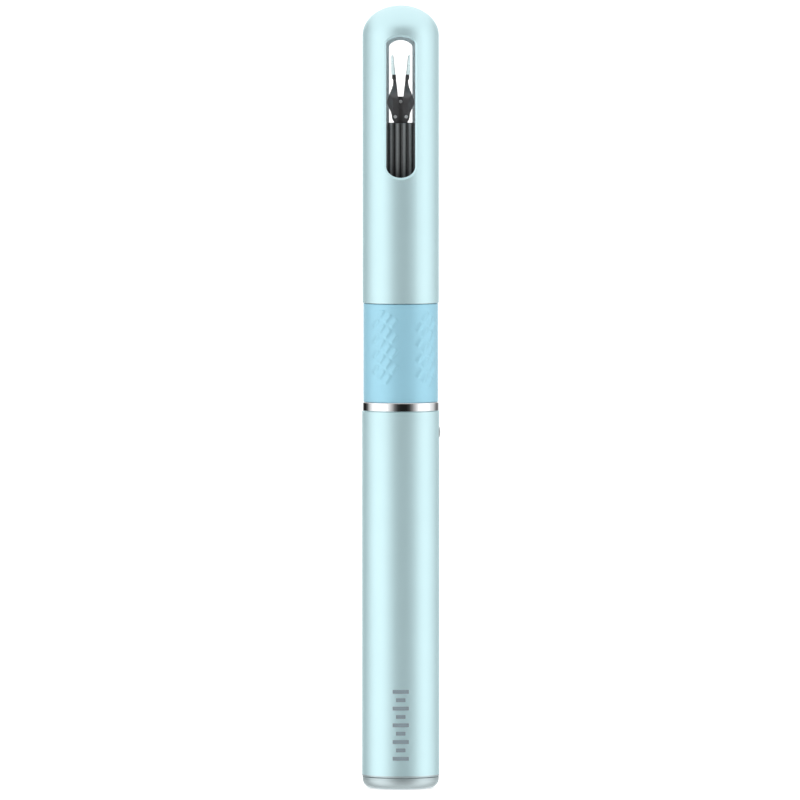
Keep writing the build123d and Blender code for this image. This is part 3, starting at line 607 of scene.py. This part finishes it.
def stud(x, z, face_y, radius, dome, foot_y, recess=0.0):
    """Points and faces of a domed head on a shank along y, facing the way that face_y points."""
    columns = 24
    angle = np.arange(columns) * 2 * np.pi / columns
    way = math.copysign(1.0, face_y)
    hexagon = 1.0 / np.cos((angle + np.pi / 6) % (np.pi / 3) - np.pi / 6)
    under = face_y - way * 2 * dome
    rings = [(0.6 * radius, foot_y), (0.6 * radius, under), (radius, under)]
    rings += [(radius * math.cos(a), face_y - way * dome * (1 - math.sin(a)))
              for a in np.linspace(0.0, 0.4 * math.pi, 5)]
    if recess:
        rings += [(recess * hexagon, face_y - way * depth * dome) for depth in (0.05, 1.5)]
    points = [np.stack([x + r * np.cos(angle), np.full(columns, y), z + way * r * np.sin(angle)], 1)
              for r, y in rings]
    faces = ring_faces(len(rings), columns, False)
    faces.append(tuple(reversed(range(columns))))
    faces.append(tuple(range((len(rings) - 1) * columns, len(rings) * columns)))
    return np.concatenate(points), faces


def add_studs(name, node, places, radius, dome, foot, recess=0.0):
    """Studs at each (x, z) place, on the front and on the back of the head."""
    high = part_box(node)[1]
    points, faces = [], []
    for x, z in places:
        for way in (-1, 1):
            start = sum(len(p) for p in points)
            p, f = stud(x, z, way * high.y, radius, dome, way * foot, recess)
            points.append(p)
            faces += [tuple(start + i for i in face) for face in f]
    add_piece(name, np.concatenate(points), faces, "housing", [node])


def fasteners():
    pins_low, pins_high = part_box("jaw_pivot_pins")
    radius = (pins_high.z - pins_low.z) / 2
    pin_x, pin_z = pins_high.x - radius, (pins_high.z + pins_low.z) / 2
    add_studs("domed_pins", "jaw_pivot_pins", [(-pin_x, pin_z), (pin_x, pin_z)], radius,
              dome=0.14 * MM, foot=1.3 * MM)
    low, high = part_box("bracket_screws")
    add_studs("hex_screws", "bracket_screws", [(0.0, (low.z + high.z) / 2)], high.x,
              dome=0.15 * MM, foot=1.2 * MM, recess=0.13 * MM)


# ---- return spring ----------------------------------------------------------


WIRE_RADIUS = 0.3 * MM
SPRING_TURNS = 4.0


def return_spring():
    """Round wire on a helix with flat end turns."""
    low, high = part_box("return_spring")
    wire = WIRE_RADIUS
    mean = high.x - wire
    steps, columns = 36, 12
    count = int(SPRING_TURNS * steps) + 1
    share = np.linspace(0.0, 1.0, count)
    flat = smooth_step(share, 0.12, 0.88)
    turn = 2 * np.pi * SPRING_TURNS * share
    height = low.z + wire + (high.z - low.z - 2 * wire) * flat
    around = np.arange(columns) * 2 * np.pi / columns
    out = mean + wire * np.cos(around)[None, :]
    x = out * np.cos(turn)[:, None]
    y = out * np.sin(turn)[:, None]
    z = height[:, None] + wire * np.sin(around)[None, :]
    points = np.stack([x, y, z], 2).reshape(-1, 3)
    faces = ring_faces(count, columns, False)
    faces.append(tuple(reversed(range(columns))))
    faces.append(tuple(range((count - 1) * columns, count * columns)))
    spring = add_piece("return_spring_coil", points, faces, "housing", ["return_spring"])
    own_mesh(spring)


grip_sleeve()
front_tube()
soft_tip("left", -1)
soft_tip("right", 1)
fasteners()
return_spring()

# ---- studio -----------------------------------------------------------------

LIGHT_ROUND = [
    (-164, 1.2), (-152, 0.6), (-144, 0.02), (-130, 0.01), (-118, 0.12), (-104, 0.7), (-84, 1.35),
    (-46, 1.35), (-35, 0.85), (-27, 0.52), (-18, 0.16), (-9, 0.04), (0, 0.015), (17, 0.013),
    (26, 0.045), (35, 0.22), (45, 0.6), (60, 1.3), (84, 1.4), (100, 0.95), (116, 0.65), (126, 0.3),
    (142, 0.08), (152, 0.6), (164, 1.2),
]


def studio_world():
    """A soft studio seen in the metal: tall soft boxes left and right, dark gaps between them and
    a bright ceiling. The stops are degrees round from the camera towards +X, and brightness."""
    world = bpy.data.worlds.new("studio")
    bpy.context.scene.world = world
    world.use_nodes = True
    t = Tree(world.node_tree)
    out = t.node("ShaderNodeOutputWorld")
    x, y, z = t.split(t.node("ShaderNodeTexCoord").outputs["Generated"])
    front = t.math("MAXIMUM", t.math("MULTIPLY", y, -1.0), 0.0)
    azimuth = t.math("DIVIDE", t.math("ARCTAN2", x, t.math("MULTIPLY", y, -1.0)), 2 * math.pi)
    marks = [(0.5 + a / 360, v) for a, v in LIGHT_ROUND]
    sides = t.ramp(t.math("ADD", azimuth, 0.5), [(0.0, 1.2), (1.0, 1.2)] + marks)
    lift = t.math("SUBTRACT", z, t.math("MULTIPLY", front, 0.4))
    ceiling = t.remap(lift, 0.22, 0.6, smooth=True)
    below = t.remap(z, -0.98, -0.64, 1.0, 0.0, smooth=True)
    colour = t.mix(ceiling, sides, (1.15, 1.15, 1.15))
    colour = t.mix(below, colour, (0.5, 0.5, 0.5))
    straight = t.node("ShaderNodeLightPath").outputs["Is Camera Ray"]
    colour = t.mix(straight, colour, (1.0, 1.0, 1.0))
    back = t.node("ShaderNodeBackground", {0: colour, 1: 1.0})
    t.tree.links.new(back.outputs[0], out.inputs[0])


def studio_floor():
    radius, count, drop = 14.0, 96, -0.02 * MM
    angles = [2 * math.pi * i / count for i in range(count)]
    ring = [(radius * math.cos(a), radius * math.sin(a), drop) for a in angles]
    mesh = bpy.data.meshes.new("floor")
    wedges = [(0, 1 + i, 1 + (i + 1) % count) for i in range(count)]
    mesh.from_pydata([(0.0, 0.0, drop)] + ring, [], wedges)
    floor = bpy.data.objects.new("floor", mesh)
    bpy.context.scene.collection.objects.link(floor)
    paper = shader("floor_paper", (0.80, 0.80, 0.80), 0.9, Specular_IOR_Level=0.0,
                   Emission_Color=(1, 1, 1, 1), Emission_Strength=0.5)
    mesh.materials.append(paper[0])
    floor.visible_glossy = False


def camera():
    data = bpy.data.cameras.new("camera")
    cam = bpy.data.objects.new("camera", data)
    bpy.context.scene.collection.objects.link(cam)
    distance, elevation = 3.0, math.radians(2.4)
    width = 167.44 * MM  # what the picture spans at the object
    data.sensor_width = 36.0
    data.lens = data.sensor_width * distance / width
    target = Vector((-0.15 * MM, 0.0, 81.3 * MM))
    back = Vector((0.0, -math.cos(elevation), math.sin(elevation)))
    cam.location = target + back * distance
    cam.rotation_mode = "QUATERNION"
    cam.rotation_quaternion = (-back).to_track_quat("-Z", "Y")
    data.clip_start, data.clip_end = 0.1, 100.0
    bpy.context.scene.camera = cam


studio_world()
studio_floor()
camera()
view = bpy.context.scene.view_settings
view.view_transform = "Standard"
view.look = "None"
